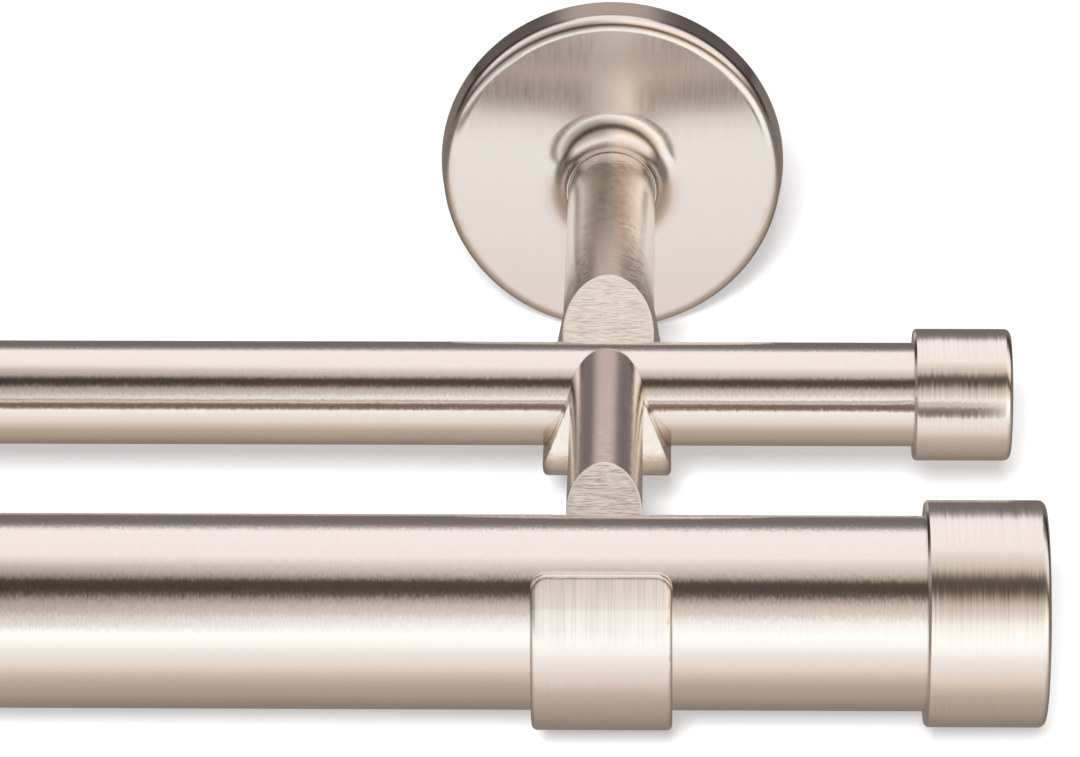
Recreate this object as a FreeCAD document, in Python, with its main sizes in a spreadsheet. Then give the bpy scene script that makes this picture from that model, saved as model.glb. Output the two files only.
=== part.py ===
import FreeCAD, Part
import math
import os
import re
import Sketcher

# Double curtain pole. A thick front pole and a thin rear pole lie level on
# two cast brackets. X runs along the poles, the wall is the plane Y = 0, the
# room is on the -Y side and Z is up. The origin lies midway between the two
# brackets, level with their arms. All lengths are in millimetres.
os.makedirs("parts", exist_ok=True)
doc = FreeCAD.newDocument("double_curtain_pole")
sheet = doc.addObject("Spreadsheet::Sheet", "Sizes")

sizes = [
    # poles
    ("pole_length", "1200", "length of both tubes"),
    ("bracket_inset", "60", "tube end to the middle of a bracket"),
    ("front_dia", "28", "outside diameter of the front tube"),
    ("rear_dia", "16", "outside diameter of the rear tube"),
    ("tube_wall", "1", "wall of both tubes"),
    ("front_reach", "158.2", "wall to the front pole's axis"),
    ("rear_reach", "85.3", "wall to the rear pole's axis"),
    ("front_drop", "4.05", "front pole's axis below the arm's axis"),
    ("rear_drop", "3.25", "rear pole's axis below the arm's axis"),
    # end caps and their plugs
    ("front_cap_overlap", "14", "length of tube inside a front cap"),
    ("rear_cap_overlap", "13", "length of tube inside a rear cap"),
    ("front_cap_wall", "2.2", "wall of a front cap round its tube"),
    ("rear_cap_wall", "2.1", "wall of a rear cap round its tube"),
    ("front_cap_floor", "2.5", "closed end of a front cap"),
    ("rear_cap_floor", "1.2", "closed end of a rear cap"),
    ("cap_round", "1.1", "rounding of a cap's closed end"),
    ("cap_chamfer", "0.4", "chamfer of a cap's open end"),
    ("slip", "0.05", "clearance on radius of sliding fits"),
    ("plug_flange", "0.8", "flange of a plug"),
    ("plug_edge", "0.3", "plug's flange inside the tube's edge"),
    ("plug_length", "12", "body of a plug inside the tube"),
    ("plug_rib", "0.5", "height of a plug's grip rings"),
    ("plug_rib_width", "0.6", "crest of a grip ring"),
    ("plug_rib_slope", "0.15", "run of a grip ring's flank"),
    ("stud_dia", "5", "stud inside a cap"),
    ("stud_length", "9", "length of that stud"),
    # wall plate
    ("plate_gap", "1.3", "wall plate's edge to the inside of the rosette"),
    ("plate_thick", "4", "thickness of a wall plate"),
    ("plate_chamfer", "0.5", "chamfer of the plate's front edge"),
    ("wall_hole_dia", "4.5", "wall screw hole"),
    ("wall_sink_dia", "9", "countersink of a wall screw hole"),
    ("wall_hole_edge", "7", "middle of a wall screw hole to the plate's edge"),
    # rosette
    ("rosette_dia", "57", "diameter of a rosette"),
    ("rosette_depth", "6.6", "wall to the rim of the rosette's face"),
    ("rosette_crown", "240", "radius of the gently domed face"),
    ("rosette_wall", "1.8", "wall of a rosette"),
    ("rim_draft", "0.4", "how far the rim leans in towards its face"),
    ("rim_round", "2.4", "rounding of the rosette's rim"),
    ("neck_flare", "5.25", "radius of the neck's hollow flare"),
    ("neck_collar", "0.2", "straight collar at the neck's end"),
    ("neck_wall", "0.2", "wall of that collar round the arm"),
    # arm
    ("arm_dia", "14.3", "thick part of the arm, wall to rear pole"),
    ("reach_dia", "11.2", "thin part of the arm, rear pole to front pole"),
    ("rear_saddle_wall", "4.55", "rear cradle's metal under the pole"),
    ("rear_saddle_width", "19.7", "width of the rear cradle at the bottom"),
    ("rear_saddle_nose", "2.75", "rear cradle's metal in front of the pole"),
    ("rear_saddle_blend", "6", "curve between that flat and the round underside"),
    ("rear_saddle_lean", "7.7", "rear pole's axis down to where the sides start to lean in"),
    ("rear_edge_round", "0.8", "rounding of the rear cradle's edges"),
    ("front_saddle_wall", "2.8", "front cradle's metal round the pole"),
    ("front_saddle_width", "20.1", "width of the front cradle"),
    ("front_saddle_lean", "5", "front pole's axis back to where the web narrows"),
    ("front_edge_round", "0.8", "rounding of the front cradle's edges"),
    ("lip_angle", "28", "where the lip leaves the round, above level, degrees"),
    ("lip_rise", "5.5", "straight part of the lip on its inside"),
    ("lip_slant", "17", "slope of the lip's end face, degrees"),
    ("lip_round", "2.3", "corner rounding of the lip"),
    ("slot_angle", "45", "slope of the way in for a pole, degrees"),
    ("rear_web_reach", "38", "rear pole's axis back to the web's start"),
    ("front_web_reach", "40", "front pole's axis back to the web's start"),
    ("web_drop", "1.5", "web's start below the arm's axis"),
    ("rear_web_tuck", "0.6", "rear web's sides inside the thin arm"),
    ("front_web_tuck", "0.6", "front web's sides inside the thin arm"),
    # bolt and grub screws
    ("bolt_dia", "6", "bolt that holds the arm on its wall plate"),
    ("bolt_head_dia", "11.4", "head of that bolt"),
    ("bolt_depth", "13", "thread of that bolt inside the arm"),
    ("bolt_point", "0.6", "point of that bolt"),
    ("head_gap", "0.15", "clearance on radius of the bolt in its plate"),
    ("head_sink", "0.2", "bolt's head below the back of its plate"),
    ("socket_depth", "2.6", "hexagon socket of the bolt"),
    ("grub_dia", "4", "grub screw under each pole"),
    ("rim_grub_dia", "2.5", "grub screw under the rosette"),
    ("grub_edge", "0.3", "chamfer of a grub screw's socket end"),
    ("grub_point", "0.5", "cone of a grub screw's point"),
    ("rear_grub_sink", "0.3", "rear grub screw inside the cradle"),
    ("front_grub_stand", "0.2", "front grub screw out of the cradle"),
    ("rim_grub_sink", "0.2", "rosette's grub screw inside the rim"),
    ("rim_grub_gap", "0.05", "rosette's grub screw short of the wall plate"),
]
sheet.set("A1", "name")
sheet.set("B1", "value")
sheet.set("C1", "meaning")
for row, (name, number, note) in enumerate(sizes, start=2):
    sheet.set("A%d" % row, name)
    sheet.set("B%d" % row, number)
    sheet.setAlias("B%d" % row, name)
    sheet.set("C%d" % row, note)
doc.recompute()

# Formulas that several pieces share.
half_span = "(pole_length / 2 - bracket_inset)"
plate_rad = "(rosette_dia / 2 - rosette_wall - rim_draft - plate_gap)"
arm_bore = "(arm_dia / 2 + slip)"
turn_cos = "cos(slot_angle * 1 deg)"
turn_sin = "sin(slot_angle * 1 deg)"
lip_cos = "cos(lip_angle * 1 deg)"
lip_sin = "sin(lip_angle * 1 deg)"


def s(text):
    """Write the sheet's name in front of every size used in a formula."""
    names = {name for name, _, _ in sizes}
    return re.sub("[a-z_]+", lambda word: "Sizes." * (word[0] in names) + word[0], text)


def value(text):
    """The present value of a formula."""
    got = sheet.evalExpression(s(text))
    return float(getattr(got, "Value", got))


def new_sketch(body, name, role, lift=None):
    sketch = body.newObject("Sketcher::SketchObject", name)
    plane = [item for item in body.Origin.OriginFeatures if item.Role == role][0]
    sketch.AttachmentSupport = (plane, [""])
    sketch.MapMode = "FlatFace"
    if lift:
        sketch.setExpression("AttachmentOffset.Base.z", s(lift))
    return sketch


def bind(sketch, kind, *refs_and_formula):
    """Add a constraint whose value follows a formula."""
    refs, formula = refs_and_formula[:-1], refs_and_formula[-1]
    index = sketch.addConstraint(Sketcher.Constraint(kind, *refs, value(formula)))
    sketch.setExpression("Constraints[%d]" % index, s(formula))


def arc_between(p, q, middle, radius):
    """The shorter arc from p to q, and whether it runs that way round."""
    a = math.atan2(p[1] - middle[1], p[0] - middle[0])
    b = math.atan2(q[1] - middle[1], q[0] - middle[0])
    sweep = (b - a) % (2 * math.pi)
    circle = Part.Circle(FreeCAD.Vector(*middle, 0), FreeCAD.Vector(0, 0, 1), radius)
    if sweep <= math.pi:
        return Part.ArcOfCircle(circle, a, a + sweep), (1, 2)
    return Part.ArcOfCircle(circle, b, b + 2 * math.pi - sweep), (2, 1)


def outline(sketch, corners):
    """Closed line through the corners (x, y). A corner with three more entries
    (radius, centre x, centre y) starts an arc to the next corner."""
    points = [(value(corner[0]), value(corner[1])) for corner in corners]
    first = sketch.GeometryCount
    count = len(corners)
    ends = []
    for k, corner in enumerate(corners):
        p, q = points[k], points[(k + 1) % count]
        if len(corner) > 2:
            middle = (value(corner[3]), value(corner[4]))
            piece, order = arc_between(p, q, middle, value(corner[2]))
        else:
            piece = Part.LineSegment(FreeCAD.Vector(*p, 0), FreeCAD.Vector(*q, 0))
            order = (1, 2)
        sketch.addGeometry(piece)
        ends.append(order)
    for k in range(count):
        n = (k + 1) % count
        joint = Sketcher.Constraint("Coincident", first + k, ends[k][1], first + n, ends[n][0])
        sketch.addConstraint(joint)
    for k, corner in enumerate(corners):
        bind(sketch, "DistanceX", -1, 1, first + k, ends[k][0], corner[0])
        bind(sketch, "DistanceY", -1, 1, first + k, ends[k][0], corner[1])
        if len(corner) > 2:
            bind(sketch, "Radius", first + k, corner[2])


def ring(sketch, cx, cy, radius):
    middle = FreeCAD.Vector(value(cx), value(cy), 0)
    index = sketch.addGeometry(Part.Circle(middle, FreeCAD.Vector(0, 0, 1), value(radius)))
    bind(sketch, "DistanceX", -1, 1, index, 3, cx)
    bind(sketch, "DistanceY", -1, 1, index, 3, cy)
    bind(sketch, "Radius", index, radius)


def hexagon(sketch, flat):
    """A socket for a hexagon key, half as wide as flat says."""
    corner = "(%s / cos(30 deg))" % flat
    points = []
    for k in range(6):
        points.append(tuple("%s * %s(%d deg)" % (corner, way, 60 * k) for way in ("sin", "cos")))
    outline(sketch, points)


def pad(body, sketch, length, both=False):
    feature = body.newObject("PartDesign::Pad", sketch.Name + "_pad")
    feature.Profile = sketch
    feature.setExpression("Length", s(length))
    if both:
        feature.SideType = "Symmetric"
    doc.recompute()


def pocket(body, sketch, length, both=False, flip=False):
    feature = body.newObject("PartDesign::Pocket", sketch.Name + "_pocket")
    feature.Profile = sketch
    feature.setExpression("Length", s(length))
    if both:
        feature.SideType = "Symmetric"
    feature.Reversed = flip
    doc.recompute()


def turn(body, sketch, axis="V_Axis", kind="Revolution"):
    feature = body.newObject("PartDesign::" + kind, sketch.Name + "_turned")
    feature.Profile = sketch
    feature.ReferenceAxis = (sketch, [axis])
    feature.Angle = 360.0
    doc.recompute()


def round_edges(body, name, radius, wanted):
    """Round the edges whose middle point passes the test."""
    base = body.Tip
    picked = []
    for number, edge in enumerate(base.Shape.Edges, start=1):
        if wanted(edge, edge.valueAt((edge.FirstParameter + edge.LastParameter) / 2)):
            picked.append("Edge%d" % number)
    feature = body.newObject("PartDesign::Fillet", name)
    feature.Base = (base, picked)
    feature.setExpression("Radius", s(radius))
    doc.recompute()
    print(name, len(picked), "edges")


pieces = []


def new_body(name, x="0", y="0", z="0", turned=False):
    body = doc.addObject("PartDesign::Body", name)
    body.Label = name
    if turned:
        half_turn = FreeCAD.Rotation(FreeCAD.Vector(0, 0, 1), 180)
        body.Placement = FreeCAD.Placement(FreeCAD.Vector(0, 0, 0), half_turn)
    body.setExpression(".Placement.Base.x", s(x))
    body.setExpression(".Placement.Base.y", s(y))
    body.setExpression(".Placement.Base.z", s(z))
    pieces.append(body)
    return body


def seat_rad(pole):
    """Inside radius of whatever holds or covers this pole."""
    return "(%s_dia / 2 + slip)" % pole


def cradle_rad(pole):
    return "(%s_dia / 2 + slip + %s_saddle_wall)" % (pole, pole)


def make_tube(pole):
    body = new_body(pole + "_pole", "0", "-%s_reach" % pole, "-%s_drop" % pole)
    sketch = new_sketch(body, pole + "_pole_section", "YZ_Plane")
    ring(sketch, "0", "0", pole + "_dia / 2")
    ring(sketch, "0", "0", pole + "_dia / 2 - tube_wall")
    pad(body, sketch, "pole_length", both=True)


def pole_end(kind, pole, end):
    """A body with x = 0 at the tube's end and the tube on its negative side."""
    x = ("-" if end == "left" else "") + "pole_length / 2"
    name = "%s_%s_%s" % (pole, kind, end)
    return new_body(name, x, "-%s_reach" % pole, "-%s_drop" % pole, turned=end == "left")


def make_cap(pole, end):
    """A turned cup over the tube's end with a stud in its middle."""
    body = pole_end("cap", pole, end)
    bore = seat_rad(pole)
    outer = "(%s + %s_cap_wall)" % (bore, pole)
    mouth = "-%s_cap_overlap" % pole
    close = "(plug_flange + %s_cap_floor)" % pole
    round_x, round_y = close + " - cap_round", outer + " - cap_round"
    sketch = new_sketch(body, body.Name + "_profile", "XY_Plane")
    outline(
        sketch,
        [
            (mouth, bore),
            (mouth, outer + " - cap_chamfer"),
            (mouth + " + cap_chamfer", outer),
            (round_x, outer, "cap_round", round_x, round_y),
            (close, round_y),
            (close, "0"),
            ("plug_flange - stud_length", "0"),
            ("plug_flange - stud_length", "stud_dia / 2"),
            ("plug_flange", "stud_dia / 2"),
            ("plug_flange", bore),
        ],
    )
    turn(body, sketch, "H_Axis")


def make_plug(pole, end):
    """A moulded plug with five grip rings that holds the cap's stud."""
    body = pole_end("plug", pole, end)
    flange = "%s_dia / 2 - plug_edge" % pole
    grip = "(%s_dia / 2 - tube_wall - slip)" % pole
    core = "(%s - plug_rib)" % grip
    bore = "stud_dia / 2 + slip"
    corners = [("0", flange), ("plug_flange", flange), ("plug_flange", bore)]
    corners += [("-plug_length", bore), ("-plug_length", core)]
    for k in (5, 4, 3, 2, 1):
        start = "-plug_length * %d / 6" % k
        corners += [
            (start, core),
            (start + " + plug_rib_slope", grip),
            (start + " + plug_rib_slope + plug_rib_width", grip),
            (start + " + 2 * plug_rib_slope + plug_rib_width", core),
        ]
    corners += [("0", core)]
    sketch = new_sketch(body, body.Name + "_profile", "XY_Plane")
    outline(sketch, corners)
    turn(body, sketch, "H_Axis")


def make_wall_plate(end, x):
    """A disc with two countersunk wall holes and a hole, sunk from behind, for
    the bolt that pulls the arm onto it."""
    body = new_body("wall_plate_" + end, x)
    bore = "(bolt_dia / 2 + head_gap)"
    sketch = new_sketch(body, body.Name + "_disc", "XY_Plane")
    outline(
        sketch,
        [
            (bore, "-(bolt_head_dia - bolt_dia) / 2"),
            ("bolt_head_dia / 2 + head_gap", "0"),
            (plate_rad, "0"),
            (plate_rad, "-plate_thick + plate_chamfer"),
            (plate_rad + " - plate_chamfer", "-plate_thick"),
            (bore, "-plate_thick"),
        ],
    )
    turn(body, sketch)
    past = "slip"
    sink = "(wall_sink_dia - wall_hole_dia) / 2"
    for mark, side in (("upper", ""), ("lower", "-")):
        rise = side + "(%s - wall_hole_edge)" % plate_rad
        sketch = new_sketch(body, "%s_%s_hole" % (body.Name, mark), "XY_Plane", rise)
        outline(
            sketch,
            [
                ("0", past),
                ("wall_hole_dia / 2", past),
                ("wall_hole_dia / 2", "-plate_thick + " + sink),
                ("wall_sink_dia / 2", "-plate_thick"),
                ("wall_sink_dia / 2", "-plate_thick - " + past),
                ("0", "-plate_thick - " + past),
            ],
        )
        turn(body, sketch, kind="Groove")


def make_rosette(end, x):
    """A cup over the wall plate: a leaning rim, a rounded edge, a gently domed
    face and a neck that flares out round the arm, each tangent to the next."""
    body = new_body("rosette_" + end, x)
    rim = "rosette_dia / 2"
    edge_x = "(rosette_dia / 2 - rim_draft - rim_round)"
    edge_y = "(rim_round - rosette_depth)"
    inner = "(rosette_crown - rim_round)"
    dome_y = "(%s + sqrt(%s * %s - %s * %s))" % (edge_y, inner, inner, edge_x, edge_x)
    neck_x = "(%s + neck_wall + neck_flare)" % arm_bore
    outer = "(rosette_crown + neck_flare)"
    neck_y = "(%s - sqrt(%s * %s - %s * %s))" % (dome_y, outer, outer, neck_x, neck_x)
    collar = neck_x + " - neck_flare"
    back = "-rosette_depth + rosette_wall"

    def on_dome(x, y, reach):
        """Where the dome touches a round whose centre lies reach from its own."""
        height = "%s + (%s - %s) * rosette_crown / %s" % (dome_y, y, dome_y, reach)
        return "%s * rosette_crown / %s" % (x, reach), height

    sketch = new_sketch(body, body.Name + "_profile", "XY_Plane")
    outline(
        sketch,
        [
            (rim, "0"),
            (rim + " - rim_draft", edge_y, "rim_round", edge_x, edge_y),
            (*on_dome(edge_x, edge_y, inner), "rosette_crown", "0", dome_y),
            (*on_dome(neck_x, neck_y, outer), "neck_flare", neck_x, neck_y),
            (collar, neck_y),
            (collar, neck_y + " - neck_collar"),
            (arm_bore, neck_y + " - neck_collar"),
            (arm_bore, back),
            (rim + " - rim_draft - rosette_wall", back),
            (rim + " - rosette_wall", "0"),
        ],
    )
    turn(body, sketch)
    sketch = new_sketch(body, body.Name + "_screw_hole", "XY_Plane", "-rosette_dia / 2 - slip")
    ring(sketch, "0", "-plate_thick / 2", "rim_grub_dia / 2")
    pocket(body, sketch, "rosette_wall + rim_draft + plate_gap", flip=True)


def web_angle(pole):
    """How far below level a line from the web's start touches the cradle's round."""
    reach, fall = "%s_web_reach" % pole, "(%s_drop - web_drop)" % pole
    far = "sqrt(%s * %s + %s * %s)" % (reach, reach, fall, fall)
    return "(acos(%s / %s) - atan(%s / %s))" % (cradle_rad(pole), far, fall, reach)


def make_rear_cradle(body, end):
    """The rear cradle's blank: a flat front, a round underside, a web back to
    the arm, and sides that lean in towards the arm's top."""
    y, z = "(-rear_reach)", "(-rear_drop)"
    radius = cradle_rad("rear")
    nose = "(%s + rear_saddle_nose)" % seat_rad("rear")
    top = "(%s + rear_dia / 2 * %s)" % (z, turn_cos)
    inner = "(%s - rear_saddle_blend)" % radius
    ahead = "(%s - rear_saddle_blend)" % nose
    below = "sqrt(%s * %s - %s * %s)" % (inner, inner, ahead, ahead)
    angle = web_angle("rear")
    blend_y, blend_z = "%s - %s" % (y, ahead), "%s - %s" % (z, below)
    share = "%s / %s" % (radius, inner)
    sketch = new_sketch(body, "rear_cradle_%s_side" % end, "YZ_Plane")
    outline(
        sketch,
        [
            ("%s - %s" % (y, nose), top),
            ("%s - %s" % (y, nose), blend_z, "rear_saddle_blend", blend_y, blend_z),
            ("%s - %s * %s" % (y, ahead, share), "%s - %s * %s" % (z, below, share), radius, y, z),
            ("%s + %s * cos(%s)" % (y, radius, angle), "%s - %s * sin(%s)" % (z, radius, angle)),
            (y + " + rear_web_reach", "-web_drop"),
            (y + " + rear_web_reach / 2", top),
        ],
    )
    pad(body, sketch, "rear_saddle_width", both=True)
    low = z + " - rear_saddle_lean"
    clear = top + " + rear_dia"
    for mark, side in (("a", ""), ("b", "-")):
        sketch = new_sketch(body, "rear_cradle_%s_lean_%s" % (end, mark), "XZ_Plane")
        outline(
            sketch,
            [
                (side + "rear_saddle_width / 2", low),
                (side + "(reach_dia / 2 - rear_web_tuck)", top),
                (side + "(reach_dia / 2 - rear_web_tuck)", clear),
                (side + "rear_saddle_width", clear),
                (side + "rear_saddle_width", low),
            ],
        )
        pocket(body, sketch, "rear_reach * 2", flip=True)


def on_lip(radius, rise):
    """A point of the lip, which leaves the round at lip_angle and runs straight."""
    return (
        "(-front_reach - %s * %s + %s * %s)" % (radius, lip_cos, rise, lip_sin),
        "(-front_drop + %s * %s + %s * %s)" % (radius, lip_sin, rise, lip_cos),
    )


def make_front_cradle(body, end):
    """The front cradle's blank: a disc, a lip that runs straight up in front
    of the pole, and a web behind that narrows to the arm."""
    y, z = "(-front_reach)", "(-front_drop)"
    radius = cradle_rad("front")
    sketch = new_sketch(body, "front_cradle_%s_disc" % end, "YZ_Plane")
    ring(sketch, y, z, radius)
    pad(body, sketch, "front_saddle_width", both=True)

    blank = "(lip_rise * 1.2)"
    seat = seat_rad("front")
    sketch = new_sketch(body, "front_cradle_%s_lip" % end, "YZ_Plane")
    outline(sketch, [on_lip(radius, "0"), on_lip(radius, blank), on_lip(seat, blank), on_lip(seat, "0")])
    pad(body, sketch, "front_saddle_width", both=True)

    angle = web_angle("front")
    sketch = new_sketch(body, "front_cradle_%s_web" % end, "YZ_Plane")
    outline(
        sketch,
        [
            (y + " + front_web_reach", "-web_drop"),
            ("%s + %s * cos(%s)" % (y, radius, angle), "%s - %s * sin(%s)" % (z, radius, angle)),
            (y, z),
            (y + " + front_web_reach / 2", "-web_drop / 3"),
        ],
    )
    pad(body, sketch, "front_saddle_width", both=True)
    start, narrow = y + " + front_saddle_lean", y + " + front_web_reach * 0.6"
    past = y + " + front_web_reach + 1"
    for mark, side in (("a", ""), ("b", "-")):
        sketch = new_sketch(body, "front_cradle_%s_lean_%s" % (end, mark), "XY_Plane")
        outline(
            sketch,
            [
                (side + "front_saddle_width / 2", start),
                (side + "(reach_dia / 2 - front_web_tuck)", narrow),
                (side + "(reach_dia / 2 - front_web_tuck)", past),
                (side + "front_saddle_width", past),
                (side + "front_saddle_width", start),
            ],
        )
        pocket(body, sketch, "front_reach", both=True)


def make_round_arm(body, end):
    """Thick from the wall plate to the rear pole, thin from there on."""
    overlap = "1"
    sketch = new_sketch(body, "thick_arm_%s" % end, "XZ_Plane", "plate_thick")
    ring(sketch, "0", "0", "arm_dia / 2")
    pad(body, sketch, "rear_reach - plate_thick")
    sketch = new_sketch(body, "thin_arm_%s" % end, "XZ_Plane", "rear_reach - " + overlap)
    ring(sketch, "0", "0", "reach_dia / 2")
    pad(body, sketch, "front_reach - rear_reach + " + overlap)


def slot_point(pole, across, along):
    """A point of the sloping slot: across its width, then along its slope."""
    seat, run = seat_rad(pole), "%s_dia * 2" % pole
    back = "%d * %s * %s + %d * %s * %s" % (across, seat, turn_cos, along, run, turn_sin)
    up = "%d * %s * %s + %d * %s * %s" % (-across, seat, turn_sin, along, run, turn_cos)
    return "-%s_reach + %s" % (pole, back), "-%s_drop + %s" % (pole, up)


def cut_seats(body, end):
    """A round seat for each pole and the slot that slopes up towards the wall.
    In front, the seat's wall goes up the inside of the lip."""
    sketch = new_sketch(body, "rear_way_%s" % end, "YZ_Plane")
    steps = ((1, 0), (1, 1), (-1, 1), (-1, 0))
    outline(sketch, [slot_point("rear", across, along) for across, along in steps])
    pocket(body, sketch, "rear_saddle_width * 2", both=True)

    lip_y, lip_z = on_lip(seat_rad("front"), "lip_rise")
    ahead = lip_y + " - front_dia * cos(lip_slant * 1 deg)"
    sketch = new_sketch(body, "front_way_%s" % end, "YZ_Plane")
    outline(
        sketch,
        [
            slot_point("front", 1, 0),
            slot_point("front", 1, 1),
            (ahead, slot_point("front", -1, 1)[1]),
            (ahead, lip_z + " + front_dia * sin(lip_slant * 1 deg)"),
            (lip_y, lip_z),
            on_lip(seat_rad("front"), "0"),
            ("-front_reach", "-front_drop"),
        ],
    )
    pocket(body, sketch, "front_saddle_width * 2", both=True)

    for pole in ("rear", "front"):
        sketch = new_sketch(body, "%s_seat_%s" % (pole, end), "YZ_Plane")
        ring(sketch, "-%s_reach" % pole, "-%s_drop" % pole, seat_rad(pole))
        pocket(body, sketch, pole + "_saddle_width * 2", both=True)


def cut_threads(body, end):
    """One thread in the foot for the bolt and one under each pole."""
    sketch = new_sketch(body, "foot_thread_%s" % end, "XZ_Plane", "plate_thick")
    ring(sketch, "0", "0", "bolt_dia / 2")
    pocket(body, sketch, "bolt_depth + bolt_point", flip=True)
    for pole in ("rear", "front"):
        low = "-%s_drop - %s - slip" % (pole, cradle_rad(pole))
        sketch = new_sketch(body, "%s_thread_%s" % (pole, end), "XY_Plane", low)
        ring(sketch, "0", "-%s_reach" % pole, "grub_dia / 2")
        pocket(body, sketch, pole + "_saddle_wall + grub_dia / 2", flip=True)


def outer_edge(pole):
    """A test for edges in a cradle's side faces that lie on its outer skin."""
    width = value(pole + "_saddle_width / 2")
    near = value("slip")
    radius = value(cradle_rad(pole)) - near
    y, z = value("-%s_reach" % pole), value("-%s_drop" % pole)

    def test(edge, middle):
        in_side = edge.BoundBox.XLength < near and abs(abs(middle.x) - width) < near
        return in_side and math.hypot(middle.y - y, middle.z - z) > radius

    return test


def round_cradles(body, end):
    """The lip's corners first, then the long outer edges of both cradles."""
    half = value("front_saddle_width / 2")
    low_y, low_z = (value(part) for part in on_lip(seat_rad("front"), "lip_rise"))
    slant = math.radians(value("lip_slant"))
    near = value("slip")

    def lip_corner(edge, middle):
        ahead = (low_y - middle.y) * math.cos(slant) + (middle.z - low_z) * math.sin(slant)
        off = (low_y - middle.y) * math.sin(slant) - (middle.z - low_z) * math.cos(slant)
        return abs(abs(middle.x) - half) < near and abs(off) < near and 0 < ahead < 2 * half

    round_edges(body, "lip_corners_" + end, "lip_round", lip_corner)
    for pole in ("front", "rear"):
        round_edges(body, "%s_cradle_edges_%s" % (pole, end), pole + "_edge_round", outer_edge(pole))


def make_arm(end, x):
    """One casting: foot, round arm, rear cradle and front cradle."""
    body = new_body("arm_" + end, x)
    make_rear_cradle(body, end)
    make_front_cradle(body, end)
    make_round_arm(body, end)
    cut_seats(body, end)
    cut_threads(body, end)
    round_cradles(body, end)


def make_bolt(end, x):
    """Countersunk bolt with a hexagon socket, put in from behind the plate."""
    body = new_body("arm_bolt_" + end, x)
    sketch = new_sketch(body, body.Name + "_profile", "XY_Plane")
    outline(
        sketch,
        [
            ("0", "-head_sink"),
            ("bolt_head_dia / 2 - head_sink", "-head_sink"),
            ("bolt_dia / 2", "-(bolt_head_dia - bolt_dia) / 2"),
            ("bolt_dia / 2", "-plate_thick - bolt_depth + bolt_point"),
            ("bolt_dia / 2 - bolt_point", "-plate_thick - bolt_depth"),
            ("0", "-plate_thick - bolt_depth"),
        ],
    )
    turn(body, sketch)
    sketch = new_sketch(body, body.Name + "_socket", "XZ_Plane")
    hexagon(sketch, "(bolt_dia / 3)")
    pocket(body, sketch, "socket_depth", flip=True)


def make_grub_screw(name, end, x, y, base, dia, length):
    """A grub screw that stands upright, socket down, from base upwards."""
    body = new_body("%s_%s" % (name, end), x, y, base)
    radius = dia + " / 2 - slip / 2"
    sketch = new_sketch(body, body.Name + "_profile", "XZ_Plane")
    outline(
        sketch,
        [
            ("0", "0"),
            (radius + " - grub_edge", "0"),
            (radius, "grub_edge"),
            (radius, length + " - grub_point"),
            (radius + " - grub_point", length),
            ("0", length),
        ],
    )
    turn(body, sketch)
    sketch = new_sketch(body, body.Name + "_socket", "XY_Plane")
    hexagon(sketch, "(%s / 4)" % dia)
    pocket(body, sketch, dia + " * 0.4", flip=True)


for pole in ("front", "rear"):
    make_tube(pole)
for end in ("right", "left"):
    for pole in ("front", "rear"):
        make_cap(pole, end)
        make_plug(pole, end)
for end in ("right", "left"):
    x = ("" if end == "right" else "-") + half_span
    make_wall_plate(end, x)
    make_rosette(end, x)
    make_arm(end, x)
    make_bolt(end, x)
    low = "-rear_drop - %s + rear_grub_sink" % cradle_rad("rear")
    length = "rear_saddle_wall - rear_grub_sink"
    make_grub_screw("rear_pole_screw", end, x, "-rear_reach", low, "grub_dia", length)
    low = "-front_drop - %s - front_grub_stand" % cradle_rad("front")
    length = "front_saddle_wall + front_grub_stand"
    make_grub_screw("front_pole_screw", end, x, "-front_reach", low, "grub_dia", length)
    low = "-rosette_dia / 2 + rim_grub_sink"
    length = "rosette_wall + rim_draft + plate_gap - rim_grub_sink - rim_grub_gap"
    make_grub_screw("rosette_screw", end, x, "-plate_thick / 2", low, "rim_grub_dia", length)
doc.recompute()

# Every object is checked before anything is written.
bad = [item.Name for item in doc.Objects if {"Invalid", "Error"} & set(item.State)]
if bad:
    raise RuntimeError("objects with errors: " + ", ".join(bad))
for body in pieces:
    shape = body.Shape
    if shape.isNull() or not shape.isValid() or len(shape.Solids) != 1:
        raise RuntimeError("%s is not one valid solid" % body.Label)

for body in pieces:
    body.Shape.exportStep("parts/%s.step" % body.Label)
print("wrote", len(pieces), "parts")
doc.saveAs(os.path.abspath("double_curtain_pole.FCStd"))
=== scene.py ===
# %% [markdown]
# # A double curtain pole in satin nickel
# A thick front pole carries the curtain, a thin rear pole carries the net, and
# two cast brackets hold both off the wall. The solids come from the packed
# model and are already at their real size. This lesson gives them their
# finish: nickel plate that has been brushed, ground or left as cast, seen in
# soft studio light from the place where the photograph was taken. Bare metal
# has hardly any colour of its own, so most of the work is in what it mirrors
# and in the fine marks that blur the mirror.

import bpy
import math
from mathutils import Matrix, Vector


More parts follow.
